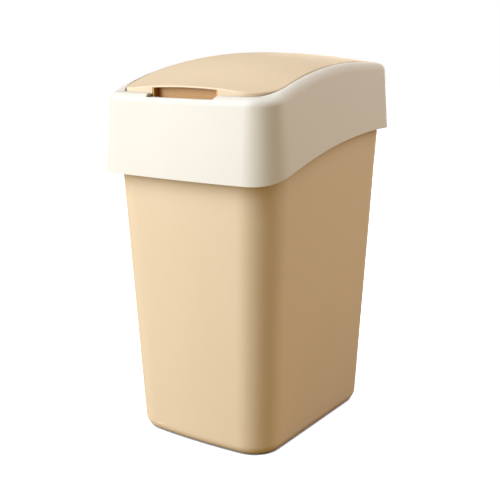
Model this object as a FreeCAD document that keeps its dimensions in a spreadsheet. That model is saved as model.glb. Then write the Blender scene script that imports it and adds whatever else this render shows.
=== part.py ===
import FreeCAD, Part
import math
import os
import Sketcher

# A kitchen bin of the 25 litre class: a tapered bucket, a collar that sits on its rim
# and a crowned flap hinged at the back of the collar. Front is -Y, up is +Z.

os.makedirs("parts", exist_ok=True)
doc = FreeCAD.newDocument("KitchenBin")
sheet = doc.addObject("Spreadsheet::Sheet", "Sizes")


class Size:
    """A number kept together with the sheet expression that gives it."""

    def __init__(self, number, text):
        self.number = number
        self.text = text

    def __add__(self, other):
        other = as_size(other)
        return Size(self.number + other.number, "(%s + %s)" % (self.text, other.text))

    def __sub__(self, other):
        other = as_size(other)
        return Size(self.number - other.number, "(%s - %s)" % (self.text, other.text))

    def __mul__(self, other):
        other = as_size(other)
        return Size(self.number * other.number, "(%s * %s)" % (self.text, other.text))

    def __truediv__(self, other):
        other = as_size(other)
        return Size(self.number / other.number, "(%s / %s)" % (self.text, other.text))

    def __neg__(self):
        return Size(-self.number, "(0 - %s)" % self.text)


def as_size(value):
    """Wrap a plain count, such as the 2 of a half, as a Size."""
    return value if isinstance(value, Size) else Size(float(value), repr(float(value)))


def root(size):
    """Square root of a Size."""
    return Size(math.sqrt(size.number), "sqrt(%s)" % size.text)


row = 0


def cell(alias, number):
    """Write one driving number in the sheet and return it as a Size."""
    global row
    row += 1
    sheet.set("A%d" % row, alias)
    sheet.set("B%d" % row, repr(float(number)))
    sheet.setAlias("B%d" % row, alias)
    return Size(float(number), "Sizes.%s" % alias)


# Bucket: plan at the foot, draft, walls and rim.
foot_width = cell("foot_width", 204.9)
foot_depth = cell("foot_depth", 267.7)
foot_corner = cell("foot_corner", 41.3)
foot_bow = cell("foot_bow", 811)
bucket_height = cell("bucket_height", 396)
bucket_draft_share = cell("bucket_draft_share", 0.0441)
rim_corner = cell("rim_corner", 44)
rim_bow = cell("rim_bow", 1141)
bucket_wall = cell("bucket_wall", 2.2)
floor_wall = cell("floor_wall", 2.6)
foot_round = cell("foot_round", 13.6)
standing_width = cell("standing_width", 8)
standing_height = cell("standing_height", 3)
bead_width = cell("bead_width", 2.8)
bead_height = cell("bead_height", 5)
bead_round = cell("bead_round", 1.2)

# Collar: overhang past the bucket's rim, draft, and the lines of its top and hem.
frame_overhang = cell("frame_overhang", 11.7)
frame_corner = cell("frame_corner", 42.2)
frame_bow = cell("frame_bow", 1344)
frame_draft_share = cell("frame_draft_share", 0.075)
frame_wall = cell("frame_wall", 2.2)
skirt_drop = cell("skirt_drop", 60)
block_spare = cell("block_spare", 15)
crest_rise = cell("crest_rise", 74.45)
crest_inset = cell("crest_inset", 109.4)
crest_back_share = cell("crest_back_share", 3.68)
crest_front_share = cell("crest_front_share", 1.6624)
crest_sweep_share = cell("crest_sweep_share", 0.1227)
crest_turn_inset = cell("crest_turn_inset", 38)
hem_drop = cell("hem_drop", 12)
hem_inset = cell("hem_inset", 45)
hem_back_share = cell("hem_back_share", 2.668)
hem_front_share = cell("hem_front_share", 2.668)
hem_sweep_share = cell("hem_sweep_share", 0.184)
hem_turn_inset = cell("hem_turn_inset", 20)
roll_radius = cell("roll_radius", 11)
mouth_inset = cell("mouth_inset", 19)
mouth_corner = cell("mouth_corner", 41.8)
ledge_width = cell("ledge_width", 8)
ledge_wall = cell("ledge_wall", 2.2)
shelf_wall = cell("shelf_wall", 2.4)
lip_depth = cell("lip_depth", 10)
lip_wall = cell("lip_wall", 1.8)
lip_gap = cell("lip_gap", 1)
notch_half = cell("notch_half", 50.2)
notch_floor_half = cell("notch_floor_half", 48)
notch_depth = cell("notch_depth", 4.2)
relief_half = cell("relief_half", 52)
grip_flare = cell("grip_flare", 2.5)

# Flap: seam, edge, crown at seven stations from front to back, skin and ribs.
seam_gap = cell("seam_gap", 1.6)
flap_edge = cell("flap_edge", 5)
flap_rest = cell("flap_rest", 0.4)
flap_wall = cell("flap_wall", 2.2)
flap_round = cell("flap_round", 2)
station_overreach = cell("station_overreach", 5.5)
station_back_inset = cell("station_back_inset", 12.5)
crown_inset = cell("crown_inset", 18)
crown_cells = [
    cell("crown_first", 6.8),
    cell("crown_second", 11.6),
    cell("crown_third", 13.4),
    cell("crown_fourth", 14.2),
    cell("crown_fifth", 11.6),
    cell("crown_sixth", 9.4),
    cell("crown_seventh", 2.2),
]
rib_wall = cell("rib_wall", 1.6)
rib_spread = cell("rib_spread", 56)
rib_step = cell("rib_step", 62)

# Hinge: axis behind the middle, pins, bosses and swing room.
axis_inset = cell("axis_inset", 25)
axis_depth = cell("axis_depth", 6)
pin_radius = cell("pin_radius", 2)
pin_clearance = cell("pin_clearance", 0.06)
pin_reach = cell("pin_reach", 6)
pin_end_gap = cell("pin_end_gap", 0.4)
pin_chamfer = cell("pin_chamfer", 0.4)
frame_boss_radius = cell("frame_boss_radius", 3.8)
frame_boss_length = cell("frame_boss_length", 4.5)
flap_boss_radius = cell("flap_boss_radius", 4.2)
flap_boss_length = cell("flap_boss_length", 10)
swing_gap = cell("swing_gap", 1)

# Finger cup under the front of the flap.
cup_half = cell("cup_half", 47.2)
cup_wall = cell("cup_wall", 1.8)
cup_depth = cell("cup_depth", 10)
cup_drop = cell("cup_drop", 14)
cup_front_drop = cell("cup_front_drop", 7)
cup_setback = cell("cup_setback", 1.2)
cup_round = cell("cup_round", 4.5)
cup_side_gap = cell("cup_side_gap", 0.2)

# Room by which every cut runs past the solid, and the shift that centres the whole.
overrun = cell("overrun", 40)
centre_shift = cell("centre_shift", 1.56)
doc.recompute()

# Main sizes that follow from the sheet: the collar goes with the bucket's rim.
rim_spread = bucket_draft_share * bucket_height * 2
rim_width = foot_width + rim_spread
rim_depth = foot_depth + rim_spread
frame_width = rim_width + frame_overhang * 2
frame_depth = rim_depth + frame_overhang * 2
skirt_start = bucket_height - skirt_drop
crest_height = bucket_height + crest_rise
skirt_rise = crest_height + block_spare - skirt_start


def plane_of(body, role):
    """Return a body's own origin plane."""
    for feature in body.Origin.OriginFeatures:
        if feature.Role == role:
            return feature
    raise ValueError(role)


def new_body(name):
    """Add an empty body."""
    return doc.addObject("PartDesign::Body", name)


def bind(thing, path, size):
    """Drive one property of an object by the sheet."""
    thing.setExpression(path, size.text)


def new_sketch(body, name, role, offset=None):
    """Add a sketch on an origin plane of the body, moved along the plane's normal."""
    sketch = body.newObject("Sketcher::SketchObject", name)
    sketch.AttachmentSupport = (plane_of(body, role), [""])
    sketch.MapMode = "FlatFace"
    if offset is not None:
        lift = FreeCAD.Vector(0, 0, offset.number)
        sketch.AttachmentOffset = FreeCAD.Placement(lift, FreeCAD.Rotation())
        bind(sketch, "AttachmentOffset.Base.z", offset)
    return sketch


def tie(sketch, kind, *where):
    """Add a geometric constraint."""
    sketch.addConstraint(Sketcher.Constraint(kind, *where))


def hold(sketch, kind, size, *where):
    """Add a dimension that follows the sheet."""
    index = sketch.addConstraint(Sketcher.Constraint(kind, *where, size.number))
    bind(sketch, "Constraints[%d]" % index, size)


def vector(across, along):
    """A point in a sketch."""
    return FreeCAD.Vector(across, along, 0)


def arc(across, along, radius, start, end):
    """An arc in a sketch, counter-clockwise between two angles."""
    circle = Part.Circle(vector(across, along), FreeCAD.Vector(0, 0, 1), radius)
    return Part.ArcOfCircle(circle, start, end)


def line(first, second):
    """A straight edge in a sketch."""
    return Part.LineSegment(first, second)


def plan_outline(sketch, width, depth, corner, bow, front_corner=None):
    """Rounded plan with a bowed front and straight sides and back; the front corners may differ."""
    front_corner = front_corner or corner
    first = sketch.GeometryCount
    side = width.number / 2
    back = depth.number / 2
    rear_round = corner.number
    front_round = front_corner.number
    middle = bow.number - back
    rear_inner = side - rear_round
    inner = side - front_round
    front = middle - math.sqrt((bow.number - front_round) ** 2 - inner ** 2)
    turn = math.atan2(front - middle, inner) + 2 * math.pi
    mirrored = 3 * math.pi - turn
    rear = back - rear_round
    sketch.addGeometry([
        line(vector(side, front), vector(side, rear)),
        arc(rear_inner, rear, rear_round, 0, math.pi / 2),
        line(vector(rear_inner, back), vector(-rear_inner, back)),
        arc(-rear_inner, rear, rear_round, math.pi / 2, math.pi),
        line(vector(-side, rear), vector(-side, front)),
        arc(-inner, front, front_round, math.pi, mirrored),
        arc(0, middle, bow.number, mirrored, turn),
        arc(inner, front, front_round, turn, 2 * math.pi),
    ], False)
    for step in range(8):
        tie(sketch, "Tangent", first + step, 2, first + (step + 1) % 8, 1)
    tie(sketch, "Vertical", first)
    tie(sketch, "Vertical", first + 4)
    tie(sketch, "Symmetric", first + 2, 1, first + 2, 2, -2)
    tie(sketch, "Equal", first + 1, first + 3)
    tie(sketch, "Equal", first + 5, first + 7)
    tie(sketch, "PointOnObject", first + 6, 3, -2)
    hold(sketch, "Radius", corner, first + 1)
    hold(sketch, "Radius", front_corner, first + 5)
    hold(sketch, "Radius", bow, first + 6)
    hold(sketch, "DistanceX", width, first + 4, 1, first, 1)
    hold(sketch, "DistanceY", depth / 2, -1, 1, first + 2, 1)
    hold(sketch, "DistanceY", bow - depth / 2, -1, 1, first + 6, 3)


def polygon(sketch, points):
    """Closed outline through points given as pairs of Sizes, every corner dimensioned."""
    first = sketch.GeometryCount
    count = len(points)
    spots = [vector(across.number, along.number) for across, along in points]
    for step in range(count):
        sketch.addGeometry(line(spots[step], spots[(step + 1) % count]), False)
    for step in range(count):
        tie(sketch, "Coincident", first + step, 2, first + (step + 1) % count, 1)
    for step, (across, along) in enumerate(points):
        place(sketch, first + step, 1, across, along)


def place(sketch, edge, point, across, along):
    """Hold one point of an edge at a distance from the sketch origin."""
    for kind, size in (("DistanceX", across), ("DistanceY", along)):
        if abs(size.number) == 0:
            tie(sketch, "PointOnObject", edge, point, -2 if kind == "DistanceX" else -1)
        elif size.number > 0:
            hold(sketch, kind, size, -1, 1, edge, point)
        else:
            hold(sketch, kind, -size, edge, point, -1, 1)


def frame_plan(sketch, inset):
    """Plan of the collar, drawn in by an inset."""
    plan_outline(sketch, frame_width - inset * 2, frame_depth - inset * 2,
                 frame_corner - inset, frame_bow - inset)


def mouth_plan(sketch, inset):
    """Plan of the mouth and the flap in it, by its inset from the collar's plan."""
    plan_outline(sketch, frame_width - inset * 2, frame_depth - inset * 2, frame_corner - inset,
                 frame_bow - inset, mouth_corner + mouth_inset - inset)


class SideLine:
    """Line of the collar's top or hem seen from the side.

    A back arc and a front arc meet level at the crest. A sweep curves the other way and ends level,
    and a straight piece goes on to the front.
    """

    def __init__(self, crest, setback, back, front, sweep, turn):
        self.crest = crest
        self.setback = setback
        self.back = back
        self.front = front
        self.sweep = sweep
        self.turn = turn
        self.lean = (setback - turn) / front
        self.upright = root(as_size(1) - self.lean * self.lean)
        self.sweep_along = setback - self.lean * (front + sweep)
        self.low = crest - front + self.upright * (front + sweep) - sweep

    def height(self, place):
        """Height of the line at one place along the bin."""
        if place.number < self.sweep_along.number:
            return self.low
        if place.number < self.turn.number:
            away = place - self.sweep_along
            return self.low + self.sweep - root(self.sweep * self.sweep - away * away)
        radius = self.back if place.number > self.setback.number else self.front
        away = place - self.setback
        return self.crest - radius + root(radius * radius - away * away)

    def region(self, sketch, drop, level):
        """Draw all between the line, lowered by a drop, and a straight level above or below it."""
        reach = frame_depth / 2 + overrun
        back, front, sweep = self.back - drop, self.front - drop, self.sweep + drop
        crest = self.crest - drop
        turn = self.setback - self.lean * front
        right = math.acos((reach - self.setback).number / back.number)
        lean = math.asin(self.lean.number)
        low = (self.low - drop).number
        back_arc = arc(self.setback.number, (crest - back).number, back.number, right, math.pi / 2)
        front_arc = arc(self.setback.number, (crest - front).number, front.number,
                        math.pi / 2, math.pi / 2 + lean)
        sweep_arc = arc(self.sweep_along.number, low + sweep.number, sweep.number,
                        -math.pi / 2, lean - math.pi / 2)
        front_end = vector(-reach.number, low)
        near = vector(-reach.number, level.number)
        far = vector(reach.number, level.number)
        sketch.addGeometry([
            back_arc,
            front_arc,
            sweep_arc,
            line(sweep_arc.StartPoint, front_end),
            line(front_end, near),
            line(near, far),
            line(far, back_arc.StartPoint),
        ], False)
        tie(sketch, "Tangent", 0, 2, 1, 1)
        tie(sketch, "Tangent", 1, 2, 2, 2)
        tie(sketch, "Tangent", 2, 1, 3, 1)
        for step in (3, 4, 5):
            tie(sketch, "Coincident", step, 2, step + 1, 1)
        tie(sketch, "Coincident", 6, 2, 0, 1)
        for step, way in ((3, "Horizontal"), (4, "Vertical"), (5, "Horizontal"), (6, "Vertical")):
            tie(sketch, way, step)
        for index, radius in enumerate((back, front, sweep)):
            hold(sketch, "Radius", radius, index)
        hold(sketch, "DistanceX", self.setback, -1, 1, 0, 2)
        hold(sketch, "DistanceY", crest, -1, 1, 0, 2)
        hold(sketch, "DistanceX", self.setback, -1, 1, 0, 3)
        hold(sketch, "DistanceX", -turn, 1, 2, -1, 1)
        hold(sketch, "DistanceX", reach, 4, 1, -1, 1)
        hold(sketch, "DistanceX", reach, -1, 1, 6, 1)
        hold(sketch, "DistanceY", level, -1, 1, 5, 1)


crest_line = SideLine(crest_height, frame_depth / 2 - crest_inset, frame_depth * crest_back_share,
                      frame_depth * crest_front_share, frame_depth * crest_sweep_share,
                      crest_turn_inset - frame_depth / 2)
hem_line = SideLine(bucket_height - hem_drop, frame_depth / 2 - hem_inset, frame_depth * hem_back_share,
                    frame_depth * hem_front_share, frame_depth * hem_sweep_share,
                    hem_turn_inset - frame_depth / 2)


def pad(body, name, sketch, length, both=False, reverse=False):
    """Pad a sketch, to one side or evenly to both."""
    feature = body.newObject("PartDesign::Pad", name)
    feature.Profile = sketch
    feature.Length = length.number
    feature.Midplane = both
    feature.Reversed = reverse
    bind(feature, "Length", length)
    doc.recompute()
    return feature


def pocket(body, name, sketch, length, both=False, reverse=False):
    """Cut a sketch out of the body and make sure that it took something away."""
    before = body.Shape.Volume
    feature = body.newObject("PartDesign::Pocket", name)
    feature.Profile = sketch
    feature.Length = length.number
    feature.Midplane = both
    feature.Reversed = reverse
    bind(feature, "Length", length)
    doc.recompute()
    if not body.Shape.Volume < before:
        raise ValueError("%s cuts nothing" % name)
    return feature


def loft(body, kind, name, sketches):
    """Loft through sketches in order."""
    feature = body.newObject("PartDesign::%sLoft" % kind, name)
    feature.Profile = sketches[0]
    feature.Sections = sketches[1:]
    feature.Ruled = len(sketches) == 2
    doc.recompute()
    return feature


def edge_names(shape, wanted):
    """Names of the edges for which a test holds."""
    return ["Edge%d" % (index + 1) for index, edge in enumerate(shape.Edges) if wanted(edge)]


def fillet(body, name, base, names, radius):
    """Round named edges of the body."""
    feature = body.newObject("PartDesign::Fillet", name)
    feature.Base = (base, names)
    feature.Radius = radius.number
    bind(feature, "Radius", radius)
    doc.recompute()
    return feature


def level_edges(shape, height):
    """Names of the edges that lie flat at one height."""
    close = overrun.number / 1e5

    def flat(edge):
        box = edge.BoundBox
        return abs(box.ZMin - height) < close and abs(box.ZMax - height) < close

    return edge_names(shape, flat)


def cut_arch(body, name, drop, level):
    """Cut away all between the collar's top line, lowered by a drop, and a level above or below it."""
    sketch = new_sketch(body, name + "Profile", "YZ_Plane")
    crest_line.region(sketch, drop, level)
    return pocket(body, name, sketch, frame_width + overrun * 2, both=True)


def boolean(kind, name, base, tool):
    """Boolean of two objects."""
    feature = doc.addObject("Part::%s" % kind, name)
    feature.Base = base
    feature.Tool = tool
    doc.recompute()
    return feature


def fuse(name, shapes):
    """Union of several objects."""
    feature = doc.addObject("Part::MultiFuse", name)
    feature.Shapes = shapes
    feature.Refine = True
    doc.recompute()
    return feature


def rod(name, radius, length, start, along, height):
    """Cylinder lying across the bin, from one place towards +X."""
    feature = doc.addObject("Part::Cylinder", name)
    turned = FreeCAD.Rotation(FreeCAD.Vector(0, 1, 0), 90)
    spot = FreeCAD.Vector(start.number, along.number, height.number)
    feature.Placement = FreeCAD.Placement(spot, turned)
    bind(feature, "Radius", radius)
    bind(feature, "Height", length)
    bind(feature, "Placement.Base.x", start)
    bind(feature, "Placement.Base.y", along)
    bind(feature, "Placement.Base.z", height)
    doc.recompute()
    return feature


def block(name, start, end):
    """Box between two corners given as triples of Sizes."""
    feature = doc.addObject("Part::Box", name)
    for path, low, high in zip(("Length", "Width", "Height"), start, end):
        bind(feature, path, high - low)
    for path, low in zip("xyz", start):
        bind(feature, "Placement.Base.%s" % path, low)
    doc.recompute()
    return feature


# Bucket
floor_level = standing_height + floor_wall

bucket = new_body("BucketBody")
foot_plan = new_sketch(bucket, "FootPlan", "XY_Plane")
plan_outline(foot_plan, foot_width, foot_depth, foot_corner, foot_bow)
rim_plan = new_sketch(bucket, "RimPlan", "XY_Plane", bucket_height)
plan_outline(rim_plan, rim_width, rim_depth, rim_corner, rim_bow)
outside = loft(bucket, "Additive", "BucketOutside", [rim_plan, foot_plan])
rounded = fillet(bucket, "FootRound", outside, level_edges(bucket.Shape, 0), foot_round)

bead_plan = new_sketch(bucket, "BeadPlan", "XY_Plane", bucket_height)
plan_outline(bead_plan, rim_width + bead_width * 2, rim_depth + bead_width * 2,
             rim_corner + bead_width, rim_bow + bead_width)
bead = pad(bucket, "RimBead", bead_plan, bead_height, reverse=True)
bead_edges = level_edges(bucket.Shape, bucket_height.number)
bead_edges = bead_edges + [name for name in level_edges(bucket.Shape, (bucket_height - bead_height).number)
                           if bucket.Shape.getElement(name).BoundBox.XLength > rim_width.number]
soft_bead = fillet(bucket, "BeadRound", bead, bead_edges, bead_round)

stand_inset = foot_round + standing_width
stand_plan = new_sketch(bucket, "StandingPlan", "XY_Plane")
plan_outline(stand_plan, foot_width - stand_inset * 2, foot_depth - stand_inset * 2,
             foot_corner - stand_inset, foot_bow - stand_inset)
pocket(bucket, "StandingRing", stand_plan, standing_height, reverse=True)

inside = new_body("BucketInside")
floor_spread = bucket_draft_share * floor_level * 2
cavity_foot = new_sketch(inside, "CavityFoot", "XY_Plane", floor_level)
plan_outline(cavity_foot, foot_width + floor_spread - bucket_wall * 2,
             foot_depth + floor_spread - bucket_wall * 2, foot_corner - bucket_wall, foot_bow - bucket_wall)
cavity_rim = new_sketch(inside, "CavityRim", "XY_Plane", bucket_height)
plan_outline(cavity_rim, rim_width - bucket_wall * 2, rim_depth - bucket_wall * 2,
             rim_corner - bucket_wall, rim_bow - bucket_wall)
cavity = loft(inside, "Additive", "BucketCavity", [cavity_rim, cavity_foot])
fillet(inside, "FloorRound", cavity, level_edges(inside.Shape, floor_level.number),
       foot_round - bucket_wall)
bucket_part = boolean("Cut", "Bucket", bucket, inside)

# Collar skin: two drafted blocks with arched tops and rolled edges, one inside the other
def frame_form(name, inset):
    """Solid form of the collar, drawn in by an inset on every side and at the top."""
    body = new_body(name)
    low = new_sketch(body, name + "Low", "XY_Plane", skirt_start)
    frame_plan(low, inset)
    high = new_sketch(body, name + "High", "XY_Plane", skirt_start + skirt_rise)
    frame_plan(high, inset + skirt_rise * frame_draft_share)
    loft(body, "Additive", name + "Block", [high, low])
    arched = cut_arch(body, name + "Top", inset, sky)
    crown_face = max(body.Shape.Faces, key=lambda face: face.CenterOfMass.z)
    rim_edges = edge_names(body.Shape, lambda edge: any(edge.isSame(other) for other in crown_face.Edges))
    fillet(body, name + "Roll", arched, rim_edges, roll_radius - inset)
    return body


def ring(name, outer_plan, inner_plan, level, height):
    """Flat ring round the mouth between two insets."""
    body = new_body(name)
    plan = new_sketch(body, name + "Plan", "XY_Plane", level)
    mouth_plan(plan, outer_plan)
    mouth_plan(plan, inner_plan)
    pad(body, name + "Pad", plan, height)
    return body


def mouth_prism(name, inset, level, height):
    """Upright prism on the mouth's plan at an inset."""
    body = new_body(name)
    plan = new_sketch(body, name + "Plan", "XY_Plane", level)
    mouth_plan(plan, inset)
    pad(body, name + "Pad", plan, height)
    return body


zero = as_size(0)
sky = crest_height + overrun * 2
ground = bucket_height + shelf_wall
joggle = flap_edge + flap_rest
frame_outer = frame_form("FrameOuter", zero)
frame_inner = frame_form("FrameInner", frame_wall)
frame_skin = boolean("Cut", "FrameSkin", frame_outer, frame_inner)

# Ledge under the flap: a ring round the mouth that follows the arch
ledge = ring("FrameLedge", mouth_inset - ledge_wall, mouth_inset + ledge_width, ground, sky - ground)
cut_arch(ledge, "LedgeTop", frame_wall / 2, sky)
cut_arch(ledge, "LedgeUnder", joggle + ledge_wall, ground - overrun)

# Shelf that rests on the bucket's rim, and the lip that finds its inside
shelf_inset = (bucket_height - skirt_start) * frame_draft_share + frame_wall / 2
lip_inset = bucket_wall + lip_gap
shelf = new_body("FrameShelf")
shelf_plan = new_sketch(shelf, "ShelfPlan", "XY_Plane", bucket_height)
frame_plan(shelf_plan, shelf_inset)
shelf_hole = lip_inset + lip_wall
plan_outline(shelf_plan, rim_width - shelf_hole * 2, rim_depth - shelf_hole * 2,
             rim_corner - shelf_hole, rim_bow - shelf_hole)
pad(shelf, "ShelfPad", shelf_plan, shelf_wall)
lip = new_body("FrameLip")
lip_plan = new_sketch(lip, "LipPlan", "XY_Plane", bucket_height + shelf_wall)
for inset in (lip_inset, shelf_hole):
    plan_outline(lip_plan, rim_width - inset * 2, rim_depth - inset * 2, rim_corner - inset, rim_bow - inset)
pad(lip, "LipPad", lip_plan, shelf_wall + lip_depth, reverse=True)

# Hinge axis and the collar's bosses
flap_inset = mouth_inset + seam_gap
axis_along = frame_depth / 2 - flap_inset - axis_inset
axis_height = crest_line.height(axis_along) - axis_depth
mouth_side = frame_width / 2 - mouth_inset
flap_side = frame_width / 2 - flap_inset
boss_right = rod("FrameBossRight", frame_boss_radius, frame_boss_length, mouth_side, axis_along, axis_height)
boss_left = rod("FrameBossLeft", frame_boss_radius, frame_boss_length, -(mouth_side + frame_boss_length),
                axis_along, axis_height)
frame_raw = fuse("FrameRaw", [frame_skin, ledge, shelf, lip, boss_right, boss_left])

# Cuts: recess for the flap, mouth, hem, swing room, grip notch and cup room, pin holes
recess = mouth_prism("FlapRecess", mouth_inset, ground, sky - ground)
cut_arch(recess, "RecessFloor", joggle, ground - overrun)
mouth = mouth_prism("Mouth", mouth_inset + ledge_width, ground, sky - ground)
hem = new_body("HemCut")
hem_floor = new_sketch(hem, "HemFloor", "XY_Plane", skirt_start - overrun)
polygon(hem_floor, [
    (-(frame_width / 2 + overrun), -(frame_depth / 2 + overrun)),
    (frame_width / 2 + overrun, -(frame_depth / 2 + overrun)),
    (frame_width / 2 + overrun, frame_depth / 2 + overrun),
    (-(frame_width / 2 + overrun), frame_depth / 2 + overrun),
])
pad(hem, "HemBlock", hem_floor, hem_line.crest - skirt_start + overrun * 2)
hem_arch = new_sketch(hem, "HemArch", "YZ_Plane")
hem_line.region(hem_arch, zero, sky)
pocket(hem, "HemTop", hem_arch, frame_width + overrun * 4, both=True)
swing = block("SwingRoom", (-mouth_side, axis_along - flap_boss_radius - swing_gap, ground),
              (mouth_side, frame_depth / 2, sky))
swing_limit = mouth_prism("SwingLimit", mouth_inset, ground, sky - ground)
swing_room = boolean("Common", "SwingCut", swing, swing_limit)
front_edge = frame_depth / 2 - mouth_inset
rim_level = crest_line.height(-front_edge)
notch = new_body("GripNotch")
notch_front = new_sketch(notch, "NotchFront", "XZ_Plane", front_edge - ledge_width)
polygon(notch_front, [
    (-notch_floor_half, rim_level - notch_depth),
    (notch_floor_half, rim_level - notch_depth),
    (notch_half, rim_level),
    (notch_half, sky),
    (-notch_half, sky),
    (-notch_half, rim_level),
])
pad(notch, "NotchCut", notch_front, overrun)
relief = block("CupRoom", (-relief_half, -front_edge - seam_gap, ground),
               (relief_half, -front_edge + cup_depth, sky))
relief_limit = mouth_prism("CupRoomLimit", mouth_inset, ground, sky - ground)
relief_cut = boolean("Common", "CupRoomCut", relief, relief_limit)
hole_right = rod("HoleRight", pin_radius, frame_boss_length, mouth_side, axis_along, axis_height)
hole_left = rod("HoleLeft", pin_radius, frame_boss_length, -(mouth_side + frame_boss_length),
                axis_along, axis_height)
frame_cuts = fuse("FrameCuts", [recess, mouth, hem, swing_room, notch, relief_cut, hole_right, hole_left])
frame_part = boolean("Cut", "LidFrame", frame_raw, frame_cuts)


# Flap: a crowned skin lofted through seven stations, trimmed to the mouth
def crown_form(name, drop):
    """Solid below the flap's crowned surface, lowered by a drop."""
    body = new_body(name)
    sections = []
    station_front = frame_depth / 2 + station_overreach
    station_pitch = (frame_depth + station_overreach - station_back_inset) / (len(crown_cells) - 1)
    crown_half = frame_width / 2 - crown_inset
    for step, crown in enumerate(crown_cells):
        station = station_pitch * step - station_front
        section = new_sketch(body, "%sSection%d" % (name, step), "XZ_Plane", -station)
        edge = crest_line.height(station) - drop
        radius = (crown_half * crown_half + crown * crown) / (crown * 2)
        middle = edge.number + crown.number - radius.number
        side = crown_half.number
        turn = math.atan2(edge.number - middle, side)
        low = ground.number
        section.addGeometry([
            arc(0, middle, radius.number, turn, math.pi - turn),
            line(vector(-side, edge.number), vector(-side, low)),
            line(vector(-side, low), vector(side, low)),
            line(vector(side, low), vector(side, edge.number)),
        ], False)
        for first in range(4):
            tie(section, "Coincident", first, 2, (first + 1) % 4, 1)
        tie(section, "Vertical", 1)
        tie(section, "Horizontal", 2)
        tie(section, "Vertical", 3)
        tie(section, "Horizontal", 0, 1, 0, 2)
        tie(section, "PointOnObject", 0, 3, -2)
        hold(section, "Radius", radius, 0)
        hold(section, "DistanceX", crown_half * 2, 2, 1, 2, 2)
        hold(section, "DistanceY", edge, -1, 1, 0, 1)
        hold(section, "DistanceY", ground, -1, 1, 2, 1)
        sections.append(section)
    loft(body, "Additive", name + "Loft", sections)
    return body


def trim_plan(body, name, inset):
    """Cut away all of a body outside the mouth's plan at an inset."""
    plan = new_sketch(body, name + "Plan", "XY_Plane", ground - overrun)
    wide = frame_width / 2 + overrun
    deep = frame_depth / 2 + overrun
    polygon(plan, [(-wide, -deep), (wide, -deep), (wide, deep), (-wide, deep)])
    mouth_plan(plan, inset)
    return pocket(body, name, plan, sky - ground + overrun * 2, reverse=True)


flap_form = crown_form("FlapForm", zero)
trim_plan(flap_form, "FlapOutline", flap_inset)
flap_under = cut_arch(flap_form, "FlapUnder", flap_edge, ground - overrun)
flap_top = max(flap_form.Shape.Faces, key=lambda face: face.CenterOfMass.z)
flap_edges = edge_names(flap_form.Shape, lambda edge: any(edge.isSame(other) for other in flap_top.Edges))
fillet(flap_form, "FlapRound", flap_under, flap_edges, flap_round)

hollow_form = crown_form("FlapHollow", flap_wall)
hollow_plan = mouth_prism("FlapHollowPlan", flap_inset + flap_wall, ground, sky - ground)
rib_plan = new_sketch(hollow_plan, "RibPlan", "XY_Plane", ground)
rib_end = frame_depth / 2
for side in (-1, 1):
    centre = rib_spread * side
    polygon(rib_plan, [
        (centre - rib_wall / 2, -rib_end + flap_inset + cup_depth * 2),
        (centre + rib_wall / 2, -rib_end + flap_inset + cup_depth * 2),
        (centre + rib_wall / 2, rib_end),
        (centre - rib_wall / 2, rib_end),
    ])
pocket(hollow_plan, "LongRibs", rib_plan, sky - ground, reverse=True)
cross_plan = new_sketch(hollow_plan, "CrossPlan", "XY_Plane", ground)
for step in (-1, 0, 1):
    centre = rib_step * step
    polygon(cross_plan, [
        (-frame_width / 2, centre - rib_wall / 2),
        (frame_width / 2, centre - rib_wall / 2),
        (frame_width / 2, centre + rib_wall / 2),
        (-frame_width / 2, centre + rib_wall / 2),
    ])
pocket(hollow_plan, "CrossRibs", cross_plan, sky - ground, reverse=True)
hollow_cut = boolean("Common", "FlapHollowCut", hollow_form, hollow_plan)

# The opening under the flap's lip flares at its foot, so that the skirt stays clear of the notch
grip_half = cup_half + cup_side_gap
grip_opening = new_body("GripOpening")
grip_front = new_sketch(grip_opening, "GripFront", "XZ_Plane", front_edge - cup_depth)
polygon(grip_front, [
    (-notch_half, ground),
    (notch_half, ground),
    (notch_half, rim_level - grip_flare),
    (grip_half, rim_level),
    (grip_half, sky),
    (-grip_half, sky),
    (-grip_half, rim_level),
    (-notch_half, rim_level - grip_flare),
])
pad(grip_opening, "GripCutter", grip_front, overrun)
grip_cut = boolean("Common", "GripCut", hollow_form, grip_opening)
flap_shell = boolean("Cut", "FlapShell", flap_form, fuse("FlapHollows", [hollow_cut, grip_cut]))
flap_boss_right = rod("FlapBossRight", flap_boss_radius, flap_boss_length, flap_side - flap_boss_length,
                      axis_along, axis_height)
flap_boss_left = rod("FlapBossLeft", flap_boss_radius, flap_boss_length, -flap_side, axis_along, axis_height)
flap_raw = fuse("FlapRaw", [flap_shell, flap_boss_right, flap_boss_left])
bearing_length = pin_end_gap + pin_reach + seam_gap
bearing_right = rod("BearingRight", pin_radius + pin_clearance, bearing_length,
                    flap_side - pin_reach - pin_end_gap, axis_along, axis_height)
bearing_left = rod("BearingLeft", pin_radius + pin_clearance, bearing_length, -(flap_side + seam_gap),
                   axis_along, axis_height)
flap_part = boolean("Cut", "Flap", flap_raw, fuse("Bearings", [bearing_right, bearing_left]))

# Finger cup: a scoop with a low front wall, trimmed to the underside of the flap's skin
cup_front = cup_setback - frame_depth / 2 + flap_inset
cup_back = cup_front + cup_depth
cup_floor = rim_level - cup_drop
cup_lip = rim_level - cup_front_drop
cup_body = new_body("CupBody")
cup_side = new_sketch(cup_body, "CupSide", "YZ_Plane")
polygon(cup_side, [(cup_front, cup_floor), (cup_back, cup_floor), (cup_back, sky), (cup_front, sky)])
cup_block = pad(cup_body, "CupBlock", cup_side, cup_half * 2, both=True)


def across_edges(shape, along, height):
    """Names of the edges that run across the bin at one place and height."""
    close = overrun.number / 1e5

    def there(edge):
        box = edge.BoundBox
        flat = box.YLength < close and box.ZLength < close
        return flat and abs(box.YMin - along) < close and abs(box.ZMin - height) < close

    return edge_names(shape, there)


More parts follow.
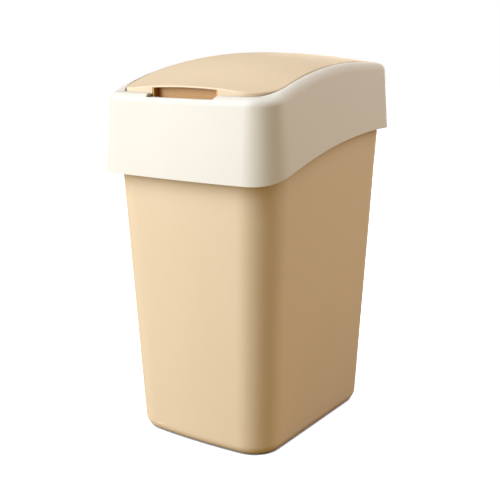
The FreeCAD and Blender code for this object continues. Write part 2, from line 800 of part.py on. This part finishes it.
cup_edges = across_edges(cup_body.Shape, cup_front.number, cup_floor.number)
cup_edges = cup_edges + across_edges(cup_body.Shape, cup_back.number, cup_floor.number)
fillet(cup_body, "CupOuterRound", cup_block, cup_edges, cup_round)
cup_scoop = new_body("CupScoop")
cup_hollow = new_sketch(cup_scoop, "CupHollow", "YZ_Plane")
polygon(cup_hollow, [
    (cup_front + cup_wall, cup_floor + cup_wall),
    (cup_back - cup_wall, cup_floor + cup_wall),
    (cup_back - cup_wall, sky + overrun),
    (cup_front - overrun, sky + overrun),
    (cup_front - overrun, cup_lip),
    (cup_front + cup_wall, cup_lip),
])
cup_open = pad(cup_scoop, "CupRoomPad", cup_hollow, (cup_half - cup_wall) * 2, both=True)
inner_edges = across_edges(cup_scoop.Shape, (cup_front + cup_wall).number, (cup_floor + cup_wall).number)
inner_edges = inner_edges + across_edges(cup_scoop.Shape, (cup_back - cup_wall).number,
                                         (cup_floor + cup_wall).number)
fillet(cup_scoop, "CupInnerRound", cup_open, inner_edges, cup_round - cup_wall)
cup_raw = boolean("Cut", "CupRaw", cup_body, cup_scoop)
cup_part = boolean("Common", "FingerCup", cup_raw, hollow_form)


# Hinge pins, pressed into the collar's bosses and turning in the flap's
def hinge_pin(name, start):
    """Chamfered pin lying across the bin, from one place towards +X."""
    body = new_body(name)
    section = new_sketch(body, name + "Section", "YZ_Plane", start)
    spot = vector(axis_along.number, axis_height.number)
    section.addGeometry(Part.Circle(spot, FreeCAD.Vector(0, 0, 1), pin_radius.number), False)
    hold(section, "Radius", pin_radius, 0)
    place(section, 0, 3, axis_along, axis_height)
    shank = pad(body, name + "Shank", section, pin_reach + seam_gap + frame_boss_length)
    ends = body.newObject("PartDesign::Chamfer", name + "Ends")
    ends.Base = (shank, edge_names(body.Shape, lambda edge: len(edge.Vertexes) == 1))
    bind(ends, "Size", pin_chamfer)
    doc.recompute()
    return body


pin_right = hinge_pin("HingePinRight", flap_side - pin_reach)
pin_left = hinge_pin("HingePinLeft", -(mouth_side + frame_boss_length))

# Hand-in: every sub-part is centred, named, tested and written
for label, part in (
    ("bucket", bucket_part),
    ("lid_frame", frame_part),
    ("flap", flap_part),
    ("finger_cup", cup_part),
    ("hinge_pin_left", pin_left),
    ("hinge_pin_right", pin_right),
):
    part.Label = label
    bind(part, "Placement.Base.y", centre_shift)
    doc.recompute()

for thing in doc.Objects:
    if "Invalid" in thing.State or "Error" in thing.State:
        raise ValueError("%s failed" % thing.Name)

for part in (bucket_part, frame_part, flap_part, cup_part, pin_left, pin_right):
    shape = part.Shape
    if shape.isNull() or not shape.isValid() or len(shape.Solids) != 1:
        raise ValueError("%s is not one sound solid" % part.Label)
    shape.Solids[0].exportStep("parts/%s.step" % part.Label)
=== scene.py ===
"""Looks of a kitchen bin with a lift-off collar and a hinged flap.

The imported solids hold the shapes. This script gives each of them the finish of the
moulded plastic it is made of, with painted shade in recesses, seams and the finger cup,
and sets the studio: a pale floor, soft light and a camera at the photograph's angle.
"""

import logging
import math
from dataclasses import dataclass, field
from enum import Enum

import bmesh
import bpy
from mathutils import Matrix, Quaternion, Vector

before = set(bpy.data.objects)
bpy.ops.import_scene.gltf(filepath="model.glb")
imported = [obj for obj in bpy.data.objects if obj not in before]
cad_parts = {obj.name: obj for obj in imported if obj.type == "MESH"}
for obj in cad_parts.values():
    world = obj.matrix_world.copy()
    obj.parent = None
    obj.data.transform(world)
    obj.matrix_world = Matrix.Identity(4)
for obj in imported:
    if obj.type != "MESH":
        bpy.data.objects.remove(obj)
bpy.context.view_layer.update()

MM = 0.001
# Cosine between the flat and the rounded normal, where rubbing starts on an edge and where it is full.
RUBBED_TURN = (0.995, 0.85)
# Noise values between which the skin goes from untouched to wiped smooth.
WIPED = (0.3, 0.8)
# Share of open sky where the painted shade of a recess or seam starts, and where it is full.
RECESS_SKY = (0.95, 0.3)
SEAM_SKY = (0.75, 0.35)
# Share of open sky where the painted contact shadow on the lit table is darkest under the foot, and where the
# table glows in full.
TABLE_SKY = (0.3, 0.8)
# Height of a direction in the studio, 0 at the horizon and 1 overhead, where the diffuser starts and is full.
DIFFUSER_EDGE = (0.4, 0.6)
# How much of their width the flow streaks keep along the walls: the smaller, the longer the streaks.
STREAK_STRETCH = 0.3
FLOOR_SIDES = 96
FLOOR_ROUGHNESS = 0.9

log = logging.getLogger("kitchen_bin")


def linear(hex_colour: str) -> tuple[float, float, float, float]:
    """Turn an sRGB hex colour into the linear colour that shaders and lights take.

    Args:
        hex_colour: Six hex digits, with or without a leading hash.

    Returns:
        Linear red, green, blue and an alpha of one.
    """
    digits = hex_colour.lstrip("#")
    channels = [int(digits[at:at + 2], 16) / 255 for at in (0, 2, 4)]
    curve = [c / 12.92 if c <= 0.04045 else ((c + 0.055) / 1.055) ** 2.4 for c in channels]
    return (curve[0], curve[1], curve[2], 1.0)


def per_metre(size_mm: float) -> float:
    """Scale of a noise texture whose features are about this many millimetres across."""
    return 1.0 / (size_mm * MM)


def add_node(tree: bpy.types.NodeTree, kind: str, inputs: dict | None = None,
             **settings: object) -> bpy.types.Node:
    """Add one node with its settings, and fill or link its input sockets.

    Args:
        tree: The node tree that takes the node.
        kind: Blender's type name of the node.
        inputs: Values by socket name or number; an output socket is linked, other values are set.
        settings: Properties of the node itself.

    Returns:
        The new node.
    """
    node = tree.nodes.new(kind)
    for name, value in settings.items():
        setattr(node, name, value)
    for socket, value in (inputs or {}).items():
        if isinstance(value, bpy.types.NodeSocket):
            tree.links.new(value, node.inputs[socket])
        else:
            node.inputs[socket].default_value = value
    return node


class Mould(Enum):
    """How the mould's steel was finished, as the depth in millimetres that it leaves on the plastic."""

    SPARK_ERODED = 0.02
    POLISHED = 0.003


@dataclass(frozen=True)
class MouldedPlastic:
    """A pigmented thermoplastic with the surface that its mould and its use gave it, and painted shade in its
    recesses and seams.

    Attributes:
        name: Name of the material, for the real plastic and its finish.
        colour: Main pigment, sRGB hex.
        streak: Tone of the faint flow streaks in the pigment, sRGB hex.
        rubbed: Tone of the edges, where hands and cloths have polished the skin, sRGB hex.
        corner: Tone of the painted shade in inner corners and recesses, sRGB hex.
        seam: Tone of the painted shade in the narrow gaps between two pieces, sRGB hex.
        roughness: Roughness of the untouched surface.
        polish: How much smoother the rubbed edges and patches are.
        mould: Finish of the mould's steel.
        grain_mm: Size of the mould's grain.
        streak_mm: Width of the flow streaks.
        wave_mm: Length of the slight waves that uneven cooling leaves in a large panel.
        wave_depth_mm: Height of these waves.
        edge_mm: Radius of the moulded edges.
        corner_mm: How far from an inner corner its painted shade reaches.
        seam_mm: Widest gap that counts as a seam.
        ior: Index of refraction of the plastic.
    """

    name: str
    colour: str
    streak: str
    rubbed: str
    corner: str
    seam: str
    roughness: float = 0.55
    polish: float = 0.12
    mould: Mould = Mould.SPARK_ERODED
    grain_mm: float = 0.9
    streak_mm: float = 45.0
    wave_mm: float = 120.0
    wave_depth_mm: float = 0.08
    edge_mm: float = 0.7
    corner_mm: float = 16.0
    seam_mm: float = 2.5
    ior: float = 1.49

    def material(self) -> bpy.types.Material:
        """Build the procedural material.

        Returns:
            A material whose colour, roughness and bump come from noise in real millimetres, with painted
            shade in recesses and seams.
        """
        made = bpy.data.materials.new(self.name)
        made.use_nodes = True
        tree = made.node_tree
        tree.nodes.clear()
        place = add_node(tree, "ShaderNodeTexCoord").outputs["Object"]
        # Moulded edges are never knife-sharp: the rounded normal catches a thin line of light.
        rounded = add_node(tree, "ShaderNodeBevel", {"Radius": self.edge_mm * MM}, samples=6)
        facing = add_node(tree, "ShaderNodeNewGeometry").outputs["Normal"]
        turned = add_node(tree, "ShaderNodeVectorMath", {
            0: rounded.outputs["Normal"], 1: facing}, operation="DOT_PRODUCT")
        edge = add_node(tree, "ShaderNodeMapRange", {
            "Value": turned.outputs["Value"], "From Min": RUBBED_TURN[0],
            "From Max": RUBBED_TURN[1]})
        # Pigment is carried by the melt, so its streaks run long in the direction of flow, up the walls.
        flow = add_node(tree, "ShaderNodeMapping", {"Vector": place, "Scale": (1.0, 1.0, STREAK_STRETCH)})
        streaks = add_node(tree, "ShaderNodeTexNoise", {
            "Vector": flow.outputs["Vector"], "Scale": per_metre(self.streak_mm), "Detail": 3.0})
        pigment = add_node(tree, "ShaderNodeMix", {
            0: streaks.outputs["Fac"], 6: linear(self.colour), 7: linear(self.streak)},
            data_type="RGBA")
        clean = add_node(tree, "ShaderNodeMix", {
            0: edge.outputs["Result"], 6: pigment.outputs[2], 7: linear(self.rubbed)},
            data_type="RGBA")
        # Painted shade: inner corners and recesses, which see little open sky, are turned towards a deeper,
        # warmer tone.
        open_sky = add_node(tree, "ShaderNodeAmbientOcclusion", {
            "Distance": self.corner_mm * MM}, samples=8, only_local=True)
        hidden = add_node(tree, "ShaderNodeMapRange", {
            "Value": open_sky.outputs["AO"], "From Min": RECESS_SKY[0],
            "From Max": RECESS_SKY[1]})
        shaded = add_node(tree, "ShaderNodeMix", {
            0: hidden.outputs["Result"], 6: clean.outputs[2], 7: linear(self.corner)},
            data_type="RGBA")
        # Painted shade: narrow gaps between two pieces, which see little open sky, are darkened into the dark
        # line of the seam.
        apart = add_node(tree, "ShaderNodeAmbientOcclusion", {
            "Distance": self.seam_mm * MM}, samples=8)
        narrow = add_node(tree, "ShaderNodeMapRange", {
            "Value": apart.outputs["AO"], "From Min": SEAM_SKY[0],
            "From Max": SEAM_SKY[1]})
        colour = add_node(tree, "ShaderNodeMix", {
            0: narrow.outputs["Result"], 6: shaded.outputs[2], 7: linear(self.seam)},
            data_type="RGBA")
        # Wiped patches are a little smoother, so the soft highlight is not perfectly even.
        wiped = add_node(tree, "ShaderNodeTexNoise", {
            "Vector": place, "Scale": per_metre(self.wave_mm), "Detail": 4.0})
        worn = add_node(tree, "ShaderNodeMath", {
            0: wiped.outputs["Fac"], 1: edge.outputs["Result"]}, operation="MAXIMUM")
        roughness = add_node(tree, "ShaderNodeMapRange", {
            "Value": worn.outputs["Value"], "From Min": WIPED[0], "From Max": WIPED[1],
            "To Min": self.roughness, "To Max": self.roughness - self.polish})
        # The real grain is about a tenth of this size and far too fine to show, so it is drawn coarser.
        grain = add_node(tree, "ShaderNodeTexNoise", {
            "Vector": place, "Scale": per_metre(self.grain_mm), "Detail": 2.0})
        waves = add_node(tree, "ShaderNodeTexNoise", {
            "Vector": place, "Scale": per_metre(self.wave_mm), "Detail": 0.0})
        panel = add_node(tree, "ShaderNodeBump", {
            "Height": waves.outputs["Fac"], "Distance": self.wave_depth_mm * MM,
            "Normal": rounded.outputs["Normal"]})
        skin = add_node(tree, "ShaderNodeBump", {
            "Height": grain.outputs["Fac"], "Distance": self.mould.value * MM,
            "Normal": panel.outputs["Normal"]})
        surface = add_node(tree, "ShaderNodeBsdfPrincipled", {
            "Base Color": colour.outputs[2], "Roughness": roughness.outputs["Result"],
            "Normal": skin.outputs["Normal"], "IOR": self.ior})
        add_node(tree, "ShaderNodeOutputMaterial", {"Surface": surface.outputs["BSDF"]})
        return made


# Polypropylene is the usual plastic of household bins: opaque when pigmented, slightly waxy,
# with a broad soft highlight from the spark-eroded mould.
BEIGE = MouldedPlastic("Moulded_polypropylene_beige", "E4CDAD", "E1C9A7", "EAD5B8", "A06C34", "5A3C1E")
CREAM = MouldedPlastic("Moulded_polypropylene_cream", "E4DED2", "E2DBCD", "EAE4DA", "C2AE90", "6A5640")
# Painted shade: the finger cup takes a deeper, warmer brown than the flap, which stands for the shade in the
# recess under the lip.
RECESS_SHADE_TAN = MouldedPlastic("Moulded_polypropylene_tan_painted_shade", "D3A25E", "CF9D58", "DBB072", "BE8846", "6E4720")
# Acetal is stiff and slippery, which suits a hinge pin; uncoloured it is a clean milky white.
ACETAL = MouldedPlastic("Moulded_acetal_natural", "EFEBE0", "ECE7DA", "F3F0E8", "CFC4AC", "B4A88E",
                        roughness=0.35, polish=0.05, mould=Mould.POLISHED, grain_mm=0.6, ior=1.48)


@dataclass
class SubAssembly:
    """Solids that move together, each with its finish.

    Attributes:
        title: Name for the log.
    """

    title: str

    def finishes(self) -> dict[str, MouldedPlastic]:
        """Finish of each solid.

        Returns:
            The finishes by the names of the solids' nodes.
        """
        raise NotImplementedError

    def dress(self) -> None:
        """Give every solid its material."""
        for node, finish in self.finishes().items():
            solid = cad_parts[node]
            solid.data.materials.clear()
            solid.data.materials.append(material_of(finish))
            log.info("%s: %s in %s", self.title, node, finish.name)


@dataclass
class Bucket(SubAssembly):
    """The tapered bucket that stands on the floor.

    Attributes:
        wall: Finish of the bucket.
    """

    title: str = "bucket"
    wall: MouldedPlastic = BEIGE

    def finishes(self) -> dict[str, MouldedPlastic]:
        """Finish of the bucket's one solid.

        Returns:
            The finish by the node's name.
        """
        return {"bucket": self.wall}


@dataclass
class Collar(SubAssembly):
    """The lift-off collar with the hinge pins pressed into it.

    Attributes:
        shell: Finish of the collar.
        pin: Finish of both pins.
    """

    title: str = "collar"
    shell: MouldedPlastic = CREAM
    pin: MouldedPlastic = ACETAL

    def finishes(self) -> dict[str, MouldedPlastic]:
        """Finishes of the collar and its pins.

        Returns:
            The finishes by the nodes' names.
        """
        return {"lid_frame": self.shell, "hinge_pin_left": self.pin, "hinge_pin_right": self.pin}


@dataclass
class Flap(SubAssembly):
    """The crowned flap with the finger cup under its lip.

    Attributes:
        lid: Finish of the flap.
        cup: Finish of the finger cup, a deeper tone painted as the shade in its recess.
    """

    title: str = "flap"
    lid: MouldedPlastic = BEIGE
    cup: MouldedPlastic = RECESS_SHADE_TAN

    def finishes(self) -> dict[str, MouldedPlastic]:
        """Finishes of the flap and its cup.

        Returns:
            The finishes by the nodes' names.
        """
        return {"flap": self.lid, "finger_cup": self.cup}


def material_of(finish: MouldedPlastic) -> bpy.types.Material:
    """Material of a finish, built once and shared by all solids that have it.

    Args:
        finish: The finish wanted.

    Returns:
        The shared material.
    """
    return bpy.data.materials.get(finish.name) or finish.material()


@dataclass
class SoftBox:
    """An upright rectangular studio light that faces the bin.

    Attributes:
        name: Name of the light.
        azimuth: Direction it stands in, in degrees; 0 is in front and 90 is to the right.
        elevation: Height of that direction above the horizon, in degrees.
        distance: Distance from the middle of the bin, in metres.
        width: Its width, in metres.
        height: Its height, in metres; a tall light softens the shadows under overhangs.
        power: Power in watts.
        colour: Colour of its light, sRGB hex.
    """

    name: str
    azimuth: float
    elevation: float
    distance: float
    width: float
    height: float
    power: float
    colour: str = "FFFFFF"

    def build(self, aim: Vector) -> bpy.types.Object:
        """Add the light.

        Args:
            aim: Point that it faces.

        Returns:
            The light's object.
        """
        data = bpy.data.lights.new(self.name, "AREA")
        data.shape = "RECTANGLE"
        data.size = self.width
        data.size_y = self.height
        data.energy = self.power
        data.color = linear(self.colour)[:3]
        lamp = bpy.data.objects.new(self.name, data)
        away = direction(self.azimuth, self.elevation)
        lamp.location = aim + away * self.distance
        lamp.rotation_mode = "QUATERNION"
        lamp.rotation_quaternion = (-away).to_track_quat("-Z", "Y")
        bpy.context.scene.collection.objects.link(lamp)
        return lamp


def direction(azimuth: float, elevation: float) -> Vector:
    """Unit vector from the bin towards a direction in the studio.

    Args:
        azimuth: Degrees from the front, towards the right.
        elevation: Degrees above the horizon.

    Returns:
        The vector.
    """
    turn, rise = math.radians(azimuth), math.radians(elevation)
    return Vector((math.sin(turn) * math.cos(rise), -math.cos(turn) * math.cos(rise), math.sin(rise)))


@dataclass
class Studio:
    """Floor, surrounding light, lamps and camera.

    Attributes:
        floor_radius: Radius of the round floor, in metres.
        floor_colour: Paint of the floor as the camera sees it, sRGB hex.
        floor_glow: Light that the floor gives off towards the camera, as a lit table does.
        glow_colour: Colour of that light, sRGB hex.
        contact_shadow_mm: Reach of the dark line where the foot covers the floor.
        floor_bounce: Tone of the light that the floor throws back at the bin, sRGB hex.
        backdrop: Brightness of the backdrop as the camera sees it.
        dome: Brightness of the diffuser that spans the upper part of the studio.
        dome_colour: Colour of that light, sRGB hex.
        horizon: Brightness of the studio below the diffuser.
        horizon_colour: Colour of that light, sRGB hex.
        lamps: The lights.
        aim: Point that the camera looks at, in metres.
        azimuth: The camera's direction, in degrees.
        elevation: The camera's height above the horizon, in degrees.
        distance: Distance from that point to the camera, in metres.
        lens: Focal length in millimetres.
        sensor: Width of the square sensor in millimetres.
        roll: Turn of the camera about its own line of sight, in degrees.
    """

    floor_radius: float = 8.0
    floor_colour: str = "F6F6F6"
    floor_glow: float = 1.0
    glow_colour: str = "EEF4FF"
    contact_shadow_mm: float = 4.0
    floor_bounce: str = "9C8446"
    backdrop: float = 1.0
    dome: float = 0.25
    dome_colour: str = "FFF5DD"
    horizon: float = 0.26
    horizon_colour: str = "FFDCB0"
    lamps: list[SoftBox] = field(default_factory=lambda: [
        SoftBox("key_light", -35.0, 29.0, 4.0, 2.0, 4.4, 274.0, "E5EFFB"),
        SoftBox("side_light", 124.0, 36.0, 2.6, 1.4, 2.8, 38.0, "FAF6FC"),
        SoftBox("back_light", 196.0, 8.0, 2.6, 1.4, 1.4, 24.0, "FFF8EE"),
    ])
    aim: tuple[float, float, float] = (-0.00566, 0.00242, 0.22458)
    azimuth: float = 34.122
    elevation: float = 13.507
    distance: float = 1.20218
    lens: float = 64.8
    sensor: float = 36.0
    roll: float = -0.159

    def build(self) -> None:
        """Set the whole studio."""
        self.add_floor()
        self.add_surroundings()
        for lamp in self.lamps:
            lamp.build(Vector(self.aim))
        self.add_camera()
        bpy.context.scene.view_settings.view_transform = "Standard"
        log.info("studio: floor, %d lights and camera", len(self.lamps))

    def add_floor(self) -> None:
        """Lay the pale floor under the bin."""
        mesh = bpy.data.meshes.new("studio_floor")
        shape = bmesh.new()
        bmesh.ops.create_circle(shape, cap_ends=True, segments=FLOOR_SIDES, radius=self.floor_radius)
        shape.to_mesh(mesh)
        shape.free()
        floor = bpy.data.objects.new("studio_floor", mesh)
        bpy.context.scene.collection.objects.link(floor)
        paint = bpy.data.materials.new("Painted_studio_floor")
        paint.use_nodes = True
        tree = paint.node_tree
        tree.nodes.clear()
        path = add_node(tree, "ShaderNodeLightPath")
        # Painted contact shadow: the table's glow is taken away where the floor sees little open sky, which
        # leaves a thin dark line under the round of the foot.
        painted_contact_shadow = add_node(tree, "ShaderNodeAmbientOcclusion", {
            "Distance": self.contact_shadow_mm * MM}, samples=16)
        glow = add_node(tree, "ShaderNodeMapRange", {
            "Value": painted_contact_shadow.outputs["AO"], "From Min": TABLE_SKY[0], "From Max": TABLE_SKY[1],
            "To Min": 0.0, "To Max": self.floor_glow})
        bounce = add_node(tree, "ShaderNodeBsdfDiffuse", {"Color": linear(self.floor_bounce)})
        seen = add_node(tree, "ShaderNodeBsdfPrincipled", {
            "Base Color": linear(self.floor_colour), "Roughness": FLOOR_ROUGHNESS,
            "Emission Color": linear(self.glow_colour), "Emission Strength": glow.outputs["Result"]})
        both = add_node(tree, "ShaderNodeMixShader", {
            0: path.outputs["Is Camera Ray"], 1: bounce.outputs["BSDF"], 2: seen.outputs["BSDF"]})
        add_node(tree, "ShaderNodeOutputMaterial", {"Surface": both.outputs["Shader"]})
        mesh.materials.append(paint)

    def add_surroundings(self) -> None:
        """Set the wide diffuser overhead and the white backdrop."""
        world = bpy.data.worlds.new("studio")
        bpy.context.scene.world = world
        world.use_nodes = True
        tree = world.node_tree
        tree.nodes.clear()
        path = add_node(tree, "ShaderNodeLightPath")
        way = add_node(tree, "ShaderNodeTexCoord").outputs["Generated"]
        height = add_node(tree, "ShaderNodeSeparateXYZ", {"Vector": way}).outputs["Z"]
        overhead = add_node(tree, "ShaderNodeMapRange", {
            "Value": height, "From Min": DIFFUSER_EDGE[0], "From Max": DIFFUSER_EDGE[1]})
        low = add_node(tree, "ShaderNodeBackground", {
            "Color": linear(self.horizon_colour), "Strength": self.horizon})
        high = add_node(tree, "ShaderNodeBackground", {
            "Color": linear(self.dome_colour), "Strength": self.dome})
        light = add_node(tree, "ShaderNodeMixShader", {
            0: overhead.outputs["Result"], 1: low.outputs["Background"], 2: high.outputs["Background"]})
        white = add_node(tree, "ShaderNodeBackground", {
            "Color": linear("FFFFFF"), "Strength": self.backdrop})
        both = add_node(tree, "ShaderNodeMixShader", {
            0: path.outputs["Is Camera Ray"], 1: light.outputs["Shader"], 2: white.outputs["Background"]})
        add_node(tree, "ShaderNodeOutputWorld", {"Surface": both.outputs["Shader"]})

    def add_camera(self) -> None:
        """Set the camera at the photograph's angle."""
        data = bpy.data.cameras.new("camera")
        data.lens = self.lens
        data.sensor_width = self.sensor
        camera = bpy.data.objects.new("camera", data)
        away = direction(self.azimuth, self.elevation)
        camera.location = Vector(self.aim) + away * self.distance
        camera.rotation_mode = "QUATERNION"
        turn = Quaternion((0.0, 0.0, 1.0), math.radians(self.roll))
        camera.rotation_quaternion = (-away).to_track_quat("-Z", "Y") @ turn
        bpy.context.scene.collection.objects.link(camera)
        bpy.context.scene.camera = camera


def main() -> None:
    """Dress the sub-assemblies and set the studio."""
    logging.basicConfig(level=logging.INFO, format="%(name)s: %(message)s")
    for assembly in (Bucket(), Collar(), Flap()):
        assembly.dress()
    Studio().build()


if __name__ == "__main__":
    main()
